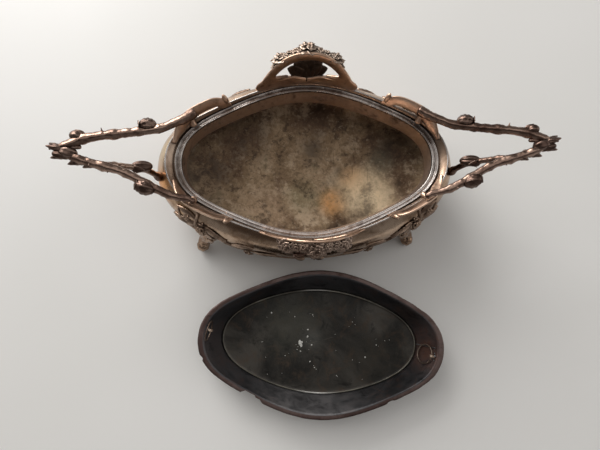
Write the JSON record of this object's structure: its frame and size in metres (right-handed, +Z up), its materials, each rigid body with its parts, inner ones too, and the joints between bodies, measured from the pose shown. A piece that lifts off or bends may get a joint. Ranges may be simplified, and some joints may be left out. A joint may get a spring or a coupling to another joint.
{
  "type": "footed centrepiece bowl with liner",
  "caption": "Oval footed silver-plated bowl with branch handles, pierced rose gallery, and a lift-out dark metal liner with ring pulls.",
  "frame": {"origin": "middle of the set's footprint, on the table", "axes": "+X along the bowl's length, +Y from the liner towards the bowl, +Z up"},
  "size_m": [0.421, 0.3239, 0.1197],
  "materials": {
    "body_silver": "tarnished satin",
    "rim_silver": "tarnished satin",
    "cast_silver": "tarnished satin",
    "branch_silver": "tarnished satin",
    "gallery_silver": "tarnished satin",
    "liner_wall_tin": "corroded matt",
    "liner_floor_tin": "corroded matt",
    "ring_wire": "corroded matt"
  },
  "bodies": {
    "bowl": {"bowl_body": "body_silver", "seat_collar": "rim_silver", "gallery_rim": "rim_silver", "arch_back": "gallery_silver", "arch_front": "gallery_silver", "fan_back": "cast_silver", "fan_front": "cast_silver", "scroll_back_left": "gallery_silver", "scroll_back_right": "gallery_silver", "scroll_front_left": "gallery_silver", "scroll_front_right": "gallery_silver", "rose_back_left": "cast_silver", "rose_back_centre": "cast_silver", "rose_back_right": "cast_silver", "rose_front_left": "cast_silver", "rose_front_centre": "cast_silver", "rose_front_right": "cast_silver", "rose_stem_back": "cast_silver", "rose_stem_front": "cast_silver", "branch_back_left": "branch_silver", "branch_front_left": "branch_silver", "twig_left": "branch_silver", "crotch_leaf_left": "cast_silver", "tip_leaves_left": "cast_silver", "round_bud_left": "cast_silver", "oval_bud_left": "cast_silver", "tulip_bud_left": "cast_silver", "small_bud_left": "cast_silver", "branch_back_right": "branch_silver", "branch_front_right": "branch_silver", "twig_right": "branch_silver", "crotch_leaf_right": "cast_silver", "tip_leaves_right": "cast_silver", "round_bud_right": "cast_silver", "oval_bud_right": "cast_silver", "tulip_bud_right": "cast_silver", "small_bud_right": "cast_silver", "foot_front_left": "branch_silver", "foot_front_right": "branch_silver", "foot_back_left": "branch_silver", "foot_back_right": "branch_silver", "leaf_mount_front_left": "cast_silver", "leaf_mount_front_right": "cast_silver", "leaf_mount_back_left": "cast_silver", "leaf_mount_back_right": "cast_silver", "spray_front_left": "cast_silver", "spray_front_right": "cast_silver", "spray_back_left": "cast_silver", "spray_back_right": "cast_silver"},
    "liner": {"liner_wall": "liner_wall_tin", "liner_floor": "liner_floor_tin", "ring_lug_left": "ring_wire", "ring_lug_right": "ring_wire"},
    "ring_left": {"ring_pull_left": "ring_wire"},
    "ring_right": {"ring_pull_right": "ring_wire"}
  },
  "joints": [
    {"name": "liner_lift", "type": "slide", "parent": "bowl", "child": "liner", "axis": [0, 0, 1], "range_m": [0, 0.15]},
    {"name": "ring_left_swing", "type": "hinge", "parent": "liner", "child": "ring_left", "pos_m": [-0.09417, -0.07656, 0.0234], "axis": [-0.2857, -0.9583, 0], "range_deg": [-156, 26]},
    {"name": "ring_right_swing", "type": "hinge", "parent": "liner", "child": "ring_right", "pos_m": [0.11517, -0.10888, 0.0234], "axis": [0.2857, 0.9583, 0], "range_deg": [0, 182]}
  ]
}
